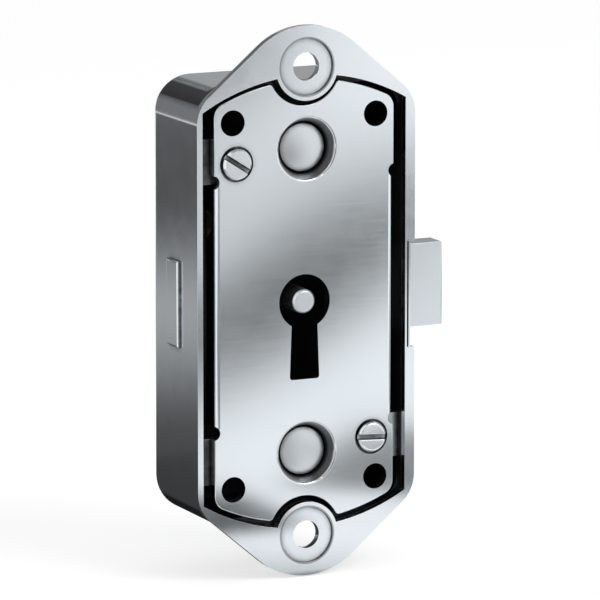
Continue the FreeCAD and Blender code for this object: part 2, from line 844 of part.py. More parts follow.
def make_lever_spring(index):
    """A leaf from the lever's slot up to the underside of the upper spacer post."""
    foot, bend = spring_foot_and_bend()
    crest_z = post_z - post_radius - spring_post_gap - spring_thickness / 2
    path = [
        (foot.x, foot.z, 0),
        (bend.x, bend.z, spring_bend_radius),
        (spring_crest_x, crest_z, spring_crest_radius),
        (spring_rest_x, crest_z, spring_rest_radius),
        (spring_end_x, crest_z - spring_end_drop, 0),
    ]
    middle = lever_front(index) + lever_sheet / 2
    return leaf(path, spring_thickness, middle - spring_width / 2, middle + spring_width / 2)


def make_washers():
    """Thin rings on the pivot, one behind each lever."""
    rings = []
    for index in range(lever_count):
        front = lever_front(index) + lever_sheet
        ring = rod(lever_pivot_x, lever_pivot_z, washer_radius, front, front + washer_thickness)
        hole = rod(lever_pivot_x, lever_pivot_z, lever_hole_radius, 0, case_depth)
        rings.append(ring.cut(hole))
    return Part.makeCompound(rings)


# Assembly


def make_parts():
    parts = {
        "case": make_case(),
        "cover": make_cover(),
        "cover_screw_upper": make_screw(-screw_x, screw_z, upper_slot_turn),
        "cover_screw_lower": make_screw(screw_x, -screw_z, lower_slot_turn),
        "screw_bracket_upper": make_screw_bracket(-screw_x, screw_z),
        "screw_bracket_lower": make_screw_bracket(screw_x, -screw_z),
        "rest_bracket": make_bracket(-1, rest_bracket_z, rest_bracket_height, rest_bracket_reach),
        "key_pin": make_key_pin(),
        "spacer_post_upper": make_spacer_post(post_z),
        "spacer_post_lower": make_spacer_post(-post_z),
        "lever_pivot_post": make_pivot_post(),
        "lever_washers": make_washers(),
        "bolt_guide_post": make_guide_post(),
        "bolt_head": make_bolt_head(),
        "bolt_tail": make_bolt_tail(),
        "bolt_rivets": make_bolt_rivets(),
        "bolt_stump": make_stump(),
    }
    for index in range(lever_count):
        parts[f"lever_{index + 1}"] = make_lever(index)
        parts[f"lever_spring_{index + 1}"] = make_lever_spring(index)
    return parts


os.makedirs("parts", exist_ok=True)
for name, shape in make_parts().items():
    shape.exportStep(f"parts/{name}.step")
    print(f"{name}: {len(shape.Solids)} solid(s), {shape.Volume:.1f} mm3, valid {shape.isValid()}")
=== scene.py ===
import json
import math

import bmesh
import bpy
from mathutils import Matrix, Vector

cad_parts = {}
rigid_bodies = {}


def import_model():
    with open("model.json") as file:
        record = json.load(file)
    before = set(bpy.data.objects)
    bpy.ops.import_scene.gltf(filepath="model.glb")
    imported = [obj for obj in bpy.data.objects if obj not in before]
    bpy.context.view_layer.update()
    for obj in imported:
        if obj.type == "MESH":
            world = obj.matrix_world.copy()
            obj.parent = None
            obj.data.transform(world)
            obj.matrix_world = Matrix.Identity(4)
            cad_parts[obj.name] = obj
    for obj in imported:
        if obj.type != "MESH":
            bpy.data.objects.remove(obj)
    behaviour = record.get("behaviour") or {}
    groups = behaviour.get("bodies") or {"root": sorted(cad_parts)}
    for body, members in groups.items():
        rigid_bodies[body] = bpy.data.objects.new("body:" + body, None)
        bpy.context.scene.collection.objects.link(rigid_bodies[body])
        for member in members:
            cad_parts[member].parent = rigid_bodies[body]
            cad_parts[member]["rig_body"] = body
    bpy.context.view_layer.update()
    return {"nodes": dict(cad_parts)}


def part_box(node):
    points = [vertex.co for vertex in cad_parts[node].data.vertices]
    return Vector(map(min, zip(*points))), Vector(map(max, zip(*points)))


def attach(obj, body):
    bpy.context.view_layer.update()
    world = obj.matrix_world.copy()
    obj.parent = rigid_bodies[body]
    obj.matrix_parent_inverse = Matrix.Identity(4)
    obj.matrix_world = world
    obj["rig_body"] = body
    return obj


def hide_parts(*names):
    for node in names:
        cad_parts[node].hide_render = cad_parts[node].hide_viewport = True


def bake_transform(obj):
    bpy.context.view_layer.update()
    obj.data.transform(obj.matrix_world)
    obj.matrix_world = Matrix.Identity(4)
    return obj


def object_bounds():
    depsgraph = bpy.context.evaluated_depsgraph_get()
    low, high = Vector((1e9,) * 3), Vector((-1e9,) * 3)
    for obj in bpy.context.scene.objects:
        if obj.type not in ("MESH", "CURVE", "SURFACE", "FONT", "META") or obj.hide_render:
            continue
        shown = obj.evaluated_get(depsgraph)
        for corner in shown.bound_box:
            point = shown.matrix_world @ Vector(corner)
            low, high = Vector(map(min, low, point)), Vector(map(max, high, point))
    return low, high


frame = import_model()
nodes = frame["nodes"]


# Case. One steel sheet pressed into a deep box with two screw ears and nickel plated. The press
# leaves long shallow waves, barrel polishing rounds every cut edge, and the plating hardly
# reaches the inside, which is painted near black as shade.
same_point = 1e-6
same_plane = math.radians(0.3)
sharp_edge = math.radians(32)


def smooth_copy(node, name):
    """A copy of a node's solid with its triangles merged into whole faces. It stands for the node."""
    mesh = nodes[node].data.copy()
    mesh.name = name
    work = bmesh.new()
    work.from_mesh(mesh)
    bmesh.ops.remove_doubles(work, verts=work.verts, dist=same_point)
    bmesh.ops.dissolve_limit(
        work, angle_limit=same_plane, use_dissolve_boundaries=False,
        verts=work.verts, edges=work.edges, delimit=set(),
    )
    for face in work.faces:
        face.smooth = True
    work.to_mesh(mesh)
    work.free()
    mesh.materials.clear()
    piece = bpy.data.objects.new(name, mesh)
    bpy.context.scene.collection.objects.link(piece)
    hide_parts(node)
    return piece


def polished_copy(node, name, edge_round):
    """A smooth copy with its sharp edges rounded. It rides on the node's body."""
    piece = smooth_copy(node, name)
    rounding = piece.modifiers.new("rounded_edges", "BEVEL")
    rounding.width = edge_round
    rounding.segments = 3
    rounding.limit_method = "ANGLE"
    rounding.angle_limit = sharp_edge
    even = piece.modifiers.new("flat_faces_stay_flat", "WEIGHTED_NORMAL")
    even.mode = "FACE_AREA"
    even.weight = 100
    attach(piece, nodes[node]["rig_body"])
    return piece


def join(tree, value, socket):
    """Feeds a socket from another socket, or sets its plain value."""
    if isinstance(value, bpy.types.NodeSocket):
        tree.links.new(value, socket)
    else:
        socket.default_value = value


def add(tree, kind, settings=None, **sockets):
    """A shader node with its settings and its inputs by name."""
    node = tree.nodes.new(kind)
    for label, value in (settings or {}).items():
        setattr(node, label, value)
    for label, value in sockets.items():
        join(tree, value, node.inputs[label.replace("_", " ")])
    return node


def maths(tree, operation, *values, clamp=False):
    """One step of arithmetic on numbers or sockets."""
    node = tree.nodes.new("ShaderNodeMath")
    node.operation = operation
    node.use_clamp = clamp
    for socket, value in zip(node.inputs, values):
        join(tree, value, socket)
    return node.outputs[0]


def smallest(tree, values):
    """The smallest of several numbers."""
    least = values[0]
    for value in values[1:]:
        least = maths(tree, "MINIMUM", least, value)
    return least


def from_axis(tree, first, second):
    """The distance from an axis, given how far a point is from it in two directions."""
    second_squared = maths(tree, "MULTIPLY", second, second)
    return maths(tree, "SQRT", maths(tree, "MULTIPLY_ADD", first, first, second_squared))


def mix_colour(tree, share, first, second):
    """A colour between two others."""
    node = tree.nodes.new("ShaderNodeMix")
    node.data_type = "RGBA"
    join(tree, share, node.inputs["Factor"])
    for value, label in ((first, "A"), (second, "B")):
        colour = value if isinstance(value, bpy.types.NodeSocket) else (*value, 1)
        socket = [entry for entry in node.inputs if entry.name == label and entry.type == "RGBA"][0]
        join(tree, colour, socket)
    return [entry for entry in node.outputs if entry.type == "RGBA"][0]


def new_group(name, inputs, outputs):
    """An empty shader node group. Each input is a name and its usual value."""
    group = bpy.data.node_groups.new(name, "ShaderNodeTree")
    for label, value in inputs.items():
        socket = group.interface.new_socket(name=label, in_out="INPUT", socket_type="NodeSocketFloat")
        socket.default_value = value
    for label, kind in outputs.items():
        group.interface.new_socket(name=label, in_out="OUTPUT", socket_type="NodeSocket" + kind)
    return group, group.nodes.new("NodeGroupInput").outputs, group.nodes.new("NodeGroupOutput").inputs


# Long waves of pressed sheet under fine pits
pressed_sheet, given, put = new_group(
    "pressed_sheet",
    {"Wave Size": 45.0, "Wave Height": 0.00003, "Pit Size": 2600.0, "Pit Height": 0.0000015},
    {"Shade": "Float", "Normal": "Vector"},
)
place = add(pressed_sheet, "ShaderNodeTexCoord").outputs["Object"]
wave = add(pressed_sheet, "ShaderNodeTexNoise", Vector=place, Scale=given["Wave Size"], Detail=1.0)
pits = add(pressed_sheet, "ShaderNodeTexNoise", Vector=place, Scale=given["Pit Size"], Detail=3.0)
cloud = add(pressed_sheet, "ShaderNodeTexNoise", Vector=place, Scale=260.0, Detail=5.0, Roughness=0.65)
waved = add(pressed_sheet, "ShaderNodeBump", Height=wave.outputs["Fac"], Distance=given["Wave Height"])
pitted = add(
    pressed_sheet, "ShaderNodeBump", Height=pits.outputs["Fac"], Distance=given["Pit Height"],
    Normal=waved.outputs["Normal"],
)
pressed_sheet.links.new(cloud.outputs["Fac"], put["Shade"])
pressed_sheet.links.new(pitted.outputs["Normal"], put["Normal"])

# Where edges are painted paler, as rubbed wear and painted highlight, and corners darker, as grime and
# painted shade
edge_gain = 9.0
edge_patchiness = 0.35
corner_gain = 2.0
corner_patchiness = 0.5
usual_reach = 0.0012
wear_and_painted_light, given, put = new_group(
    "wear_and_painted_light", {"Edge Width": 0.00025, "Corner Reach": usual_reach}, {"Edges": "Float", "Corners": "Float"}
)
rounded = add(wear_and_painted_light, "ShaderNodeBevel", {"samples": 4}, Radius=given["Edge Width"])
facing = add(wear_and_painted_light, "ShaderNodeNewGeometry")
turned = add(wear_and_painted_light, "ShaderNodeVectorMath", {"operation": "DOT_PRODUCT"})
wear_and_painted_light.links.new(rounded.outputs["Normal"], turned.inputs[0])
wear_and_painted_light.links.new(facing.outputs["Normal"], turned.inputs[1])
turned_away = maths(wear_and_painted_light, "SUBTRACT", 1.0, turned.outputs["Value"])
# Edges are painted paler: part wear, part painted highlight
edge_wear_and_highlight = maths(wear_and_painted_light, "MULTIPLY", turned_away, edge_gain, clamp=True)
place = add(wear_and_painted_light, "ShaderNodeTexCoord").outputs["Object"]
chance = add(wear_and_painted_light, "ShaderNodeTexNoise", Vector=place, Scale=900.0, Detail=3.0).outputs["Fac"]
edge_chance = maths(wear_and_painted_light, "ADD", chance, edge_patchiness)
wear_and_painted_light.links.new(maths(wear_and_painted_light, "MULTIPLY", edge_wear_and_highlight, edge_chance, clamp=True), put["Edges"])
# Corners are painted darker: part grime, part painted shade
hollow = add(wear_and_painted_light, "ShaderNodeAmbientOcclusion", {"samples": 8}, Distance=given["Corner Reach"])
hidden = maths(wear_and_painted_light, "SUBTRACT", 1.0, hollow.outputs["AO"])
shut_in = maths(wear_and_painted_light, "MULTIPLY", hidden, corner_gain, clamp=True)
corner_chance = maths(wear_and_painted_light, "ADD", chance, corner_patchiness)
wear_and_painted_light.links.new(maths(wear_and_painted_light, "MULTIPLY", shut_in, corner_chance, clamp=True), put["Corners"])

grime_dulls = 0.25


def metal(name, light, dark, worn_and_highlit, grime_and_shade, roughness, spread, relief, reach=usual_reach, **values):
    """A metal whose colour clouds between two shades, paler at edges as wear and painted highlight, and
    darker in corners as grime and painted shade.
    """
    material = bpy.data.materials.new(name)
    material.use_nodes = True
    tree = material.node_tree
    shader = tree.nodes["Principled BSDF"]
    shader.inputs["Metallic"].default_value = 1.0
    surface = add(tree, "ShaderNodeGroup", {"node_tree": relief})
    for label, value in values.items():
        surface.inputs[label.replace("_", " ")].default_value = value
    edge_and_corner_marks = add(tree, "ShaderNodeGroup", {"node_tree": wear_and_painted_light}, Corner_Reach=reach)
    clouded = mix_colour(tree, surface.outputs["Shade"], dark, light)
    edged = mix_colour(tree, edge_and_corner_marks.outputs["Edges"], clouded, worn_and_highlit)
    tree.links.new(mix_colour(tree, edge_and_corner_marks.outputs["Corners"], edged, grime_and_shade), shader.inputs["Base Color"])
    uneven = maths(tree, "MULTIPLY_ADD", surface.outputs["Shade"], spread, roughness - spread / 2)
    dulled = maths(tree, "MULTIPLY_ADD", edge_and_corner_marks.outputs["Corners"], grime_dulls, uneven, clamp=True)
    tree.links.new(dulled, shader.inputs["Roughness"])
    tree.links.new(surface.outputs["Normal"], shader.inputs["Normal"])
    return material


def paint_shade_where(material, mask, colour):
    """Lays a colour over a metal's own wherever a mask is one; here it paints shade."""
    tree = material.node_tree
    colour_socket = tree.nodes["Principled BSDF"].inputs["Base Color"]
    own_colour = colour_socket.links[0].from_socket
    tree.links.new(mix_colour(tree, mask, own_colour, colour), colour_socket)


def dull_where(material, mask, amount):
    """Makes a metal rougher by an amount wherever a mask is one."""
    tree = material.node_tree
    rough_socket = tree.nodes["Principled BSDF"].inputs["Roughness"]
    own_roughness = rough_socket.links[0].from_socket
    dulled = maths(tree, "MULTIPLY_ADD", mask, amount, own_roughness, clamp=True)
    tree.links.new(dulled, rough_socket)


case = polished_copy("case", "case_shell", edge_round=0.00015)
case_nickel = metal(
    "case_nickel", light=(0.81, 0.855, 0.895), dark=(0.715, 0.76, 0.8), worn_and_highlit=(0.88, 0.92, 0.96),
    grime_and_shade=(0.11, 0.12, 0.13), roughness=0.13, spread=0.06, relief=pressed_sheet, Wave_Height=0.00004,
)

# The painted shade inside starts behind the front faces and within the middle of the sheet
half_sheet = 0.0005
bead_height = 0.0006
lip_width = 0.0008
ears_past_box = 0.0095
inside_shade_colour = (0.05, 0.05, 0.055)
inside_dulls = 0.35
tree = case_nickel.node_tree
low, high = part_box("case")
spot = add(tree, "ShaderNodeSeparateXYZ", Vector=add(tree, "ShaderNodeTexCoord").outputs["Object"])
up_or_down = maths(tree, "ABSOLUTE", spot.outputs["Z"])
inside = smallest(tree, [
    maths(tree, "SUBTRACT", spot.outputs["X"], low[0] + bead_height + half_sheet),
    maths(tree, "SUBTRACT", high[0] - lip_width - half_sheet, spot.outputs["X"]),
    maths(tree, "SUBTRACT", high[2] - ears_past_box - half_sheet, up_or_down),
    maths(tree, "SUBTRACT", high[1] - half_sheet, spot.outputs["Y"]),
    maths(tree, "SUBTRACT", spot.outputs["Y"], 2 * half_sheet),
])

# The step that the cover's ends lie on is painted as dark as the inside, as shade
mouth_half_width = 0.0193
mouth_half_height = 0.0389
step_front = 0.0012
step_back = 0.0032
step = smallest(tree, [
    maths(tree, "SUBTRACT", mouth_half_width, maths(tree, "ABSOLUTE", spot.outputs["X"])),
    maths(tree, "SUBTRACT", mouth_half_height, up_or_down),
    maths(tree, "SUBTRACT", step_back, spot.outputs["Y"]),
    maths(tree, "SUBTRACT", spot.outputs["Y"], step_front),
])
shaded_inside = maths(tree, "DIVIDE", maths(tree, "MAXIMUM", inside, step), half_sheet, clamp=True)
paint_shade_where(case_nickel, shaded_inside, inside_shade_colour)
dull_where(case_nickel, shaded_inside, inside_dulls)

# Painted shade lies as a dark line at the foot of the pressed ring round each ear hole
ear_hole_z = 0.04
ring_radius = 0.00495
ring_width = 0.00025
ring_strength = 0.8
ear_face_depth = 0.001
ring_shade_colour = (0.1, 0.1, 0.1)
from_hole = from_axis(tree, maths(tree, "SUBTRACT", up_or_down, ear_hole_z), spot.outputs["X"])
off_ring = maths(tree, "ABSOLUTE", maths(tree, "SUBTRACT", from_hole, ring_radius))
ring_shade = maths(tree, "SUBTRACT", ring_strength, maths(tree, "DIVIDE", off_ring, ring_width), clamp=True)
on_ear = maths(tree, "LESS_THAN", spot.outputs["Y"], ear_face_depth)
paint_shade_where(case_nickel, maths(tree, "MULTIPLY", ring_shade, on_ear), ring_shade_colour)
case.data.materials.append(case_nickel)


# Brackets. Three bent strips of plain steel, spot welded to the side walls. The cover rests on
# all three and its screws thread into two of them. The upper screw bracket and the rest bracket
# are painted darker as shade inside the case, the lower screw bracket lighter as lit.
light_strip = (0.95, 1.0, 1.04)
dark_strip = (0.67, 0.7, 0.73)
# Painted light and shade: a lighter and a darker tone of the same steel
lit_tone = 0.7
lit_reach = 0.0008
shaded_tone = 0.3
shaded_reach = 0.0025


def toned(colour, tone):
    """A colour with all its parts brought down by one share."""
    return tuple(part * tone for part in colour)


for node, name, tone, reach in (
    ("screw_bracket_upper", "bracket_upper", shaded_tone, shaded_reach),
    ("screw_bracket_lower", "bracket_lower", lit_tone, lit_reach),
    ("rest_bracket", "bracket_rest", shaded_tone, shaded_reach),
):
    bracket = polished_copy(node, name, edge_round=0.00012)
    bracket.data.materials.append(metal(
        name + "_steel", light=toned(light_strip, tone), dark=toned(dark_strip, tone),
        worn_and_highlit=(0.67, 0.7, 0.73), grime_and_shade=(0.02, 0.02, 0.02), roughness=0.3, spread=0.12,
        relief=pressed_sheet, reach=reach, Wave_Size=120.0, Pit_Height=0.000003,
    ))


# Posts and pins. Turned steel, each riveted over in the case's back by a thin tenon: the key pin
# in the middle, two spacer posts with wide heads, and the posts that guide the bolt and levers.
ring_share = 0.4
stain_share = 0.6
turned_rings, given, put = new_group(
    "turned_rings",
    {"Centre X": 0.0, "Centre Z": 0.0, "Ring Size": 5000.0, "Ring Height": 0.000002},
    {"Shade": "Float", "Normal": "Vector"},
)
place = add(turned_rings, "ShaderNodeTexCoord").outputs["Object"]
spot = add(turned_rings, "ShaderNodeSeparateXYZ", Vector=place)
from_x = maths(turned_rings, "SUBTRACT", spot.outputs["X"], given["Centre X"])
from_z = maths(turned_rings, "SUBTRACT", spot.outputs["Z"], given["Centre Z"])
across_and_along = maths(turned_rings, "ADD", from_axis(turned_rings, from_x, from_z), spot.outputs["Y"])
rings = add(
    turned_rings, "ShaderNodeTexNoise", {"noise_dimensions": "1D"},
    W=maths(turned_rings, "MULTIPLY", across_and_along, given["Ring Size"]), Scale=1.0, Detail=2.0,
)
stain = add(turned_rings, "ShaderNodeTexNoise", Vector=place, Scale=500.0, Detail=4.0)
stained = maths(turned_rings, "MULTIPLY", stain.outputs["Fac"], stain_share)
shade = maths(turned_rings, "MULTIPLY_ADD", rings.outputs["Fac"], ring_share, stained)
ringed = add(turned_rings, "ShaderNodeBump", Height=rings.outputs["Fac"], Distance=given["Ring Height"])
turned_rings.links.new(shade, put["Shade"])
turned_rings.links.new(ringed.outputs["Normal"], put["Normal"])


def turning_centre(node):
    """Where the axis that a round piece was turned on meets the front plane."""
    low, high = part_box(node)
    return {"Centre_X": (low[0] + high[0]) / 2, "Centre_Z": (low[2] + high[2]) / 2}


for node, name in (
    ("key_pin", "drill_pin"),
    ("spacer_post_upper", "post_upper"),
    ("spacer_post_lower", "post_lower"),
    ("lever_pivot_post", "pivot_post"),
    ("bolt_guide_post", "guide_post"),
):
    post = polished_copy(node, name, edge_round=0.00012)
    post.data.materials.append(metal(
        name + "_steel", light=(0.725, 0.765, 0.8), dark=(0.66, 0.695, 0.73), worn_and_highlit=(0.85, 0.89, 0.92),
        grime_and_shade=(0.055, 0.06, 0.065), roughness=0.34, spread=0.06,
        relief=turned_rings, **turning_centre(node),
    ))


# Bolt. A square steel bar, nickel plated, with a fine grain along it from drawing and rubbed
# bright where it runs through the case.
grain_share = 0.4
drawn_grain, given, put = new_group(
    "drawn_grain",
    {"Along X": 1.0, "Along Z": 1.0, "Grain Size": 2500.0, "Grain Height": 0.000002},
    {"Shade": "Float", "Normal": "Vector"},
)
place = add(drawn_grain, "ShaderNodeTexCoord").outputs["Object"]
stretch = add(drawn_grain, "ShaderNodeCombineXYZ", X=given["Along X"], Y=1.0, Z=given["Along Z"])
stretched = add(drawn_grain, "ShaderNodeVectorMath", {"operation": "MULTIPLY"})
drawn_grain.links.new(place, stretched.inputs[0])
drawn_grain.links.new(stretch.outputs["Vector"], stretched.inputs[1])
lines = add(
    drawn_grain, "ShaderNodeTexNoise", Vector=stretched.outputs["Vector"],
    Scale=given["Grain Size"], Detail=3.0,
)
stain = add(drawn_grain, "ShaderNodeTexNoise", Vector=place, Scale=220.0, Detail=5.0, Roughness=0.6)
stained = maths(drawn_grain, "MULTIPLY", stain.outputs["Fac"], stain_share)
shade = maths(drawn_grain, "MULTIPLY_ADD", lines.outputs["Fac"], grain_share, stained)
grained = add(drawn_grain, "ShaderNodeBump", Height=lines.outputs["Fac"], Distance=given["Grain Height"])
drawn_grain.links.new(shade, put["Shade"])
drawn_grain.links.new(grained.outputs["Normal"], put["Normal"])

bolt = polished_copy("bolt_head", "bolt", edge_round=0.0001)
bolt.data.materials.append(metal(
    "bolt_nickel", light=(0.725, 0.77, 0.81), dark=(0.63, 0.67, 0.705), worn_and_highlit=(0.84, 0.88, 0.92),
    grime_and_shade=(0.13, 0.14, 0.15), roughness=0.2, spread=0.1, relief=drawn_grain, Along_X=0.04,
))


# Bolt plate. Rolled steel blanked to shape, riveted in the bolt's rebate. It carries the notch
# that the key pushes and the slot round the guide post.
bolt_plate = polished_copy("bolt_tail", "bolt_plate", edge_round=0.0001)
bolt_plate.data.materials.append(metal(
    "bolt_plate_steel", light=(0.62, 0.63, 0.65), dark=(0.46, 0.47, 0.5), worn_and_highlit=(0.88, 0.88, 0.88),
    grime_and_shade=(0.08, 0.08, 0.08), roughness=0.32, spread=0.14,
    relief=drawn_grain, Along_X=0.08, Grain_Height=0.000003,
))


# Rivets and stump. Soft steel rivets closed over the bolt plate, and the square stump staked in
# it that the levers hold.
riveted_steel = metal(
    "riveted_steel", light=(0.7, 0.7, 0.71), dark=(0.54, 0.54, 0.56), worn_and_highlit=(0.9, 0.9, 0.9),
    grime_and_shade=(0.08, 0.08, 0.08), roughness=0.3, spread=0.12,
    relief=pressed_sheet, Wave_Size=400.0, Pit_Height=0.000004,
)
for node, name in (("bolt_rivets", "rivets"), ("bolt_stump", "stump")):
    fastening = polished_copy(node, name, edge_round=0.00008)
    fastening.data.materials.append(riveted_steel)


# Levers. Stamped brass plates on one pivot, each with a gate of its own. The brass is painted dark
# brown as shade inside the case, darkest between the plates, and is a little brighter along its
# edges as wear and painted highlight.
lever_count = 4
for number in range(1, lever_count + 1):
    lever = polished_copy(f"lever_{number}", f"lever_plate_{number}", edge_round=0.00008)
    lever.data.materials.append(metal(
        f"lever_brass_{number}", light=(0.34, 0.24, 0.11), dark=(0.2, 0.13, 0.06), worn_and_highlit=(0.5, 0.37, 0.18),
        grime_and_shade=(0.02, 0.015, 0.01), roughness=0.34, spread=0.14,
        relief=drawn_grain, reach=0.008, Along_Z=0.06, Grain_Height=0.0000015,
    ))


# Lever springs. Leaves of blued spring steel, each with its foot held in a lever's slot and its
# end under the upper spacer post.
spring_steel = metal(
    "blued_spring", light=(0.3, 0.33, 0.42), dark=(0.17, 0.19, 0.28), worn_and_highlit=(0.6, 0.6, 0.62),
    grime_and_shade=(0.05, 0.05, 0.06), roughness=0.27, spread=0.1, relief=drawn_grain, Along_X=0.05,
)
for number in range(1, lever_count + 1):
    spring = smooth_copy(f"lever_spring_{number}", f"leaf_spring_{number}")
    spring.data.set_sharp_from_angle(angle=sharp_edge)
    spring.data.materials.append(spring_steel)
    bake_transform(spring)


# Washers. Thin rings punched from steel strip, loose on the levers' pivot. They keep the levers
# apart.
washers = polished_copy("lever_washers", "washers", edge_round=0.00003)
washers.data.materials.append(metal(
    "washer_steel", light=(0.68, 0.68, 0.7), dark=(0.54, 0.54, 0.56), worn_and_highlit=(0.88, 0.88, 0.88),
    grime_and_shade=(0.1, 0.1, 0.1), roughness=0.3, spread=0.1,
    relief=turned_rings, **turning_centre("lever_washers"),
))


# Cover. A flat steel plate, satin nickel plated, with its long edges bent in. It is blanked with
# the keyhole, four round holes, and two drawn holes that the spacer posts' heads stand in.
cover = polished_copy("cover", "cover_plate", edge_round=0.00014)
cover_nickel = metal(
    "cover_nickel", light=(0.795, 0.845, 0.885), dark=(0.735, 0.785, 0.825), worn_and_highlit=(0.86, 0.9, 0.94),
    grime_and_shade=(0.09, 0.1, 0.11), roughness=0.13, spread=0.05,
    relief=drawn_grain, Along_X=0.06, Grain_Height=0.0000006,
)

# The drawn sides of the two post holes stay dull and are painted dark as shade, darkest close round the
# posts
drawn_radius = 0.00545
drawn_fade = 0.0004
flank_shade_colour = (0.26, 0.26, 0.265)
drawn_dulls = 0.12
shaded_radius = 0.0051
shaded_fade = 0.0006
shaded_colour = (0.02, 0.02, 0.02)
post = turning_centre("spacer_post_upper")
tree = cover_nickel.node_tree
spot = add(tree, "ShaderNodeSeparateXYZ", Vector=add(tree, "ShaderNodeTexCoord").outputs["Object"])
aside = maths(tree, "SUBTRACT", spot.outputs["X"], post["Centre_X"])
over = maths(tree, "SUBTRACT", maths(tree, "ABSOLUTE", spot.outputs["Z"]), post["Centre_Z"])
from_post = from_axis(tree, aside, over)
flank_shade = maths(tree, "DIVIDE", maths(tree, "SUBTRACT", drawn_radius, from_post), drawn_fade, clamp=True)
shaded = maths(tree, "DIVIDE", maths(tree, "SUBTRACT", shaded_radius, from_post), shaded_fade, clamp=True)
paint_shade_where(cover_nickel, flank_shade, flank_shade_colour)
paint_shade_where(cover_nickel, shaded, shaded_colour)
dull_where(cover_nickel, flank_shade, drawn_dulls)
cover.data.materials.append(cover_nickel)


# Cover screws. Slotted cheese heads turned from bar and bright plated, sunk a little in the
# cover, one at the upper left and one at the lower right.
for node, name in (("cover_screw_upper", "screw_upper"), ("cover_screw_lower", "screw_lower")):
    screw = polished_copy(node, name, edge_round=0.00012)
    screw.data.materials.append(metal(
        name + "_nickel", light=(0.88, 0.92, 0.96), dark=(0.81, 0.85, 0.89), worn_and_highlit=(0.92, 0.95, 0.98),
        grime_and_shade=(0.014, 0.015, 0.016), roughness=0.18, spread=0.08,
        relief=turned_rings, reach=0.0016, Ring_Height=0.000003, **turning_centre(node),
    ))


# Floor. A wide white table that glows softly to the camera and to reflections, so that it stays
# white behind the lock and still takes the lock's shadow.
below_lock = 0.0002
floor_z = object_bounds()[0][2] - below_lock
floor_half_width = 4
floor_glow = 0.635


def seen_directly(tree):
    """One for rays from the camera, a reflection or a see-through surface, and zero for others."""
    path = add(tree, "ShaderNodeLightPath").outputs
    mirrored = maths(tree, "MAXIMUM", path["Is Glossy Ray"], path["Is Transmission Ray"])
    return maths(tree, "MAXIMUM", path["Is Camera Ray"], mirrored)


def flat_sheet(name, matrix):
    """A square of stage, two units wide before it is placed."""
    mesh = bpy.data.meshes.new(name)
    work = bmesh.new()
    bmesh.ops.create_grid(work, x_segments=1, y_segments=1, size=1.0)
    work.to_mesh(mesh)
    work.free()
    sheet = bpy.data.objects.new(name, mesh)
    sheet.matrix_world = matrix
    bpy.context.scene.collection.objects.link(sheet)
    return sheet


floor_size = Matrix.Diagonal((floor_half_width, floor_half_width, 1, 1))
floor = flat_sheet("floor", Matrix.Translation((0, 0, floor_z)) @ floor_size)
table_white = bpy.data.materials.new("table_white")
table_white.use_nodes = True
shader = table_white.node_tree.nodes["Principled BSDF"]
shader.inputs["Base Color"].default_value = (0.55, 0.55, 0.55, 1)
shader.inputs["Roughness"].default_value = 1.0
shader.inputs["Specular IOR Level"].default_value = 0.0
shader.inputs["Emission Color"].default_value = (1, 1, 1, 1)
glow = maths(table_white.node_tree, "MULTIPLY", seen_directly(table_white.node_tree), floor_glow)
table_white.node_tree.links.new(glow, shader.inputs["Emission Strength"])
floor.data.materials.append(table_white)


# Studio cards. Soft-edged dark and grey cards that only the metal's reflections see. They give
# the plated faces their dark and light bands. Those on the floor lie in thin layers, each a
# little above the last.
def card(name, centre, along, facing, length, width, shade, soft):
    """A card that fades out over a share of its size at every edge."""
    u = Vector(along).normalized()
    n = Vector(facing).normalized()
    u = (u - n * u.dot(n)).normalized()
    v = n.cross(u)
    turn = Matrix((u, v, n)).transposed().to_4x4()
    half_size = Matrix.Diagonal((length / 2, width / 2, 1, 1))
    sheet = flat_sheet(name, Matrix.Translation(centre) @ turn @ half_size)
    sheet.visible_camera = False
    sheet.visible_diffuse = False
    sheet.visible_shadow = False
    sheet.visible_transmission = False
    cloth = bpy.data.materials.new(name)
    cloth.use_nodes = True
    tree = cloth.node_tree
    tree.nodes.remove(tree.nodes["Principled BSDF"])
    spot = add(tree, "ShaderNodeSeparateXYZ", Vector=add(tree, "ShaderNodeTexCoord").outputs["Object"])
    masks = []
    for axis, fade in (("X", soft[0]), ("Y", soft[1])):
        inward = maths(tree, "SUBTRACT", 1.0, maths(tree, "ABSOLUTE", spot.outputs[axis]))
        ramp = add(
            tree, "ShaderNodeMapRange", {"interpolation_type": "SMOOTHSTEP"},
            Value=inward, From_Min=0.0, From_Max=fade,
        )
        masks.append(ramp.outputs["Result"])
    mask = maths(tree, "MULTIPLY", *masks)
    glow = add(tree, "ShaderNodeEmission", Color=(shade, shade, shade, 1), Strength=1.0)
    mixed = tree.nodes.new("ShaderNodeMixShader")
    tree.links.new(mask, mixed.inputs[0])
    tree.links.new(add(tree, "ShaderNodeBsdfTransparent").outputs[0], mixed.inputs[1])
    tree.links.new(glow.outputs[0], mixed.inputs[2])
    tree.links.new(mixed.outputs[0], tree.nodes["Material Output"].inputs["Surface"])
    sheet.data.materials.append(cloth)


layer_step = 0.0001
layer_count = 5
layers = [floor_z + layer_step * layer for layer in range(1, layer_count + 1)]


def floor_card(name, x, y, layer, along, length, width, shade, soft):
    """A card that lies on the floor in one of the thin layers."""
    card(name, (x, y, layers[layer]), along, (0, 0, 1), length, width, shade, soft)


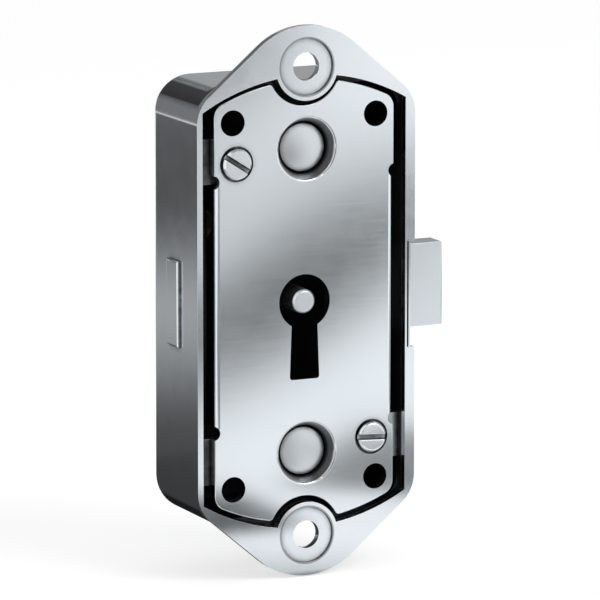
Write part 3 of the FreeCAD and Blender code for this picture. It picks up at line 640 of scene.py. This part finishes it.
# These are behind the lock and to its right. The case's left wall and top mirror most of them.
sideways = (1, 0, 0)
wall_sight = (-0.416, 0.891, 0)
floor_card(
    "dark_floor_behind", x=-0.175, y=0.27, layer=0, along=wall_sight,
    length=0.7, width=0.24, shade=0.08, soft=(0.2, 0.3),
)
floor_card(
    "grey_stripe_behind", x=-0.13, y=0.23, layer=1, along=wall_sight,
    length=0.27, width=0.3, shade=0.42, soft=(1.0, 0.3),
)
floor_card(
    "dark_floor_under", x=0.01, y=0.051, layer=2, along=sideways,
    length=0.17, width=0.1, shade=0.05, soft=(0.25, 0.1),
)
floor_card(
    "dark_floor_right", x=0.28, y=0.11, layer=3, along=sideways,
    length=0.4, width=0.2, shade=0.1, soft=(0.3, 0.3),
)
card(
    "dark_wall_left", centre=(-0.3, 0.6, 0.18), along=(1, 0.3, 0), facing=(0.3, -1, 0),
    length=0.56, width=0.46, shade=0.2, soft=(0.3, 0.12),
)
card(
    "grey_wall_behind", centre=(0.25, 0.68, 0.2), along=sideways, facing=(0, -1, 0),
    length=0.6, width=0.44, shade=0.36, soft=(0.3, 0.15),
)
card(
    "dark_wall_middle", centre=(0.0, 0.66, 0.24), along=sideways, facing=(0, -1, 0),
    length=0.34, width=0.44, shade=0.13, soft=(0.4, 0.15),
)

# These are in front of the lock, above it and beside it. The cover, the ears and the bolt mirror
# most of them.
cover_sight = (0.42, -0.907, 0)
card(
    "grey_front", centre=(-0.2, -0.5, 0.14), along=sideways, facing=(0, 1, 0),
    length=0.62, width=0.5, shade=0.3, soft=(0.15, 0.3),
)
floor_card(
    "grey_floor_right", x=0.3, y=-0.06, layer=4, along=sideways,
    length=0.36, width=0.16, shade=0.2, soft=(0.25, 0.3),
)
card(
    "grey_ceiling", centre=(0.1, -0.1, 0.4), along=sideways, facing=(0, 0, -1),
    length=0.5, width=0.5, shade=0.35, soft=(0.4, 0.4),
)
floor_card(
    "grey_floor_left", x=0.006, y=-0.318, layer=1, along=cover_sight,
    length=0.45, width=0.22, shade=0.3, soft=(0.15, 0.25),
)
floor_card(
    "pale_floor_front", x=0.17, y=-0.38, layer=0, along=cover_sight,
    length=0.22, width=0.18, shade=0.91, soft=(0.4, 0.4),
)
floor_card(
    "dark_stripe_front", x=0.1265, y=-0.262, layer=2, along=(0.63, -0.776, 0),
    length=0.49, width=0.066, shade=0.05, soft=(0.85, 0.8),
)
floor_card(
    "grey_stripe_far", x=0.274, y=-0.72, layer=3, along=cover_sight,
    length=0.48, width=0.108, shade=0.03, soft=(0.12, 0.15),
)
floor_card(
    "grey_stripe_near", x=0.0557, y=-0.0731, layer=3, along=(0.65, -0.76, 0),
    length=0.062, width=0.042, shade=0.26, soft=(0.2, 0.4),
)
floor_card(
    "grey_patch_near", x=0.001, y=-0.048, layer=4, along=sideways,
    length=0.04, width=0.042, shade=0.1, soft=(0.5, 0.5),
)


# Lamps. Soft even light from all round, which looks white to the camera and to reflections, and
# two broad lamps in front for gentle shading.
even_light = 0.55
looks_brighter_by = 0.42
world = bpy.data.worlds.new("studio")
bpy.context.scene.world = world
world.use_nodes = True
tree = world.node_tree
level = maths(tree, "MULTIPLY_ADD", seen_directly(tree), looks_brighter_by, even_light)
tree.links.new(level, tree.nodes["Background"].inputs["Strength"])
tree.nodes["Background"].inputs["Color"].default_value = (1, 1, 1, 1)


def lamp(name, place, size, power):
    """A broad square lamp that faces the lock."""
    light = bpy.data.lights.new(name, "AREA")
    light.shape = "RECTANGLE"
    light.size = size
    light.size_y = size
    light.energy = power
    holder = bpy.data.objects.new(name, light)
    holder.location = place
    holder.rotation_euler = (-Vector(place)).to_track_quat("-Z", "Y").to_euler()
    bpy.context.scene.collection.objects.link(holder)


lamp("key_lamp", place=(0.5, -0.8, 0.9), size=0.6, power=5)
lamp("fill_lamp", place=(-0.6, -0.9, 0.4), size=0.6, power=1.5)


# Camera. A long lens about a metre away, a little to the lock's left and above it, aimed almost
# at the key pin.
azimuth = math.radians(-25.0)
elevation = math.radians(10.49)
distance = 0.977
aim_right = -0.00119
aim_up = 0.00044
pixels_wide = 600
focal_pixels = 5810
forward = Vector((
    -math.sin(azimuth) * math.cos(elevation),
    math.cos(azimuth) * math.cos(elevation),
    -math.sin(elevation),
))
right = Vector((math.cos(azimuth), math.sin(azimuth), 0))
up = right.cross(forward)
camera_data = bpy.data.cameras.new("camera")
camera_data.sensor_width = 36
camera_data.lens = focal_pixels / pixels_wide * camera_data.sensor_width
camera_data.clip_start = 0.01
camera = bpy.data.objects.new("camera", camera_data)
bpy.context.scene.collection.objects.link(camera)
turn = Matrix((right, up, -forward)).transposed().to_4x4()
camera.matrix_world = Matrix.Translation(right * aim_right + up * aim_up - forward * distance) @ turn
bpy.context.scene.camera = camera
bpy.context.scene.view_settings.view_transform = "Standard"
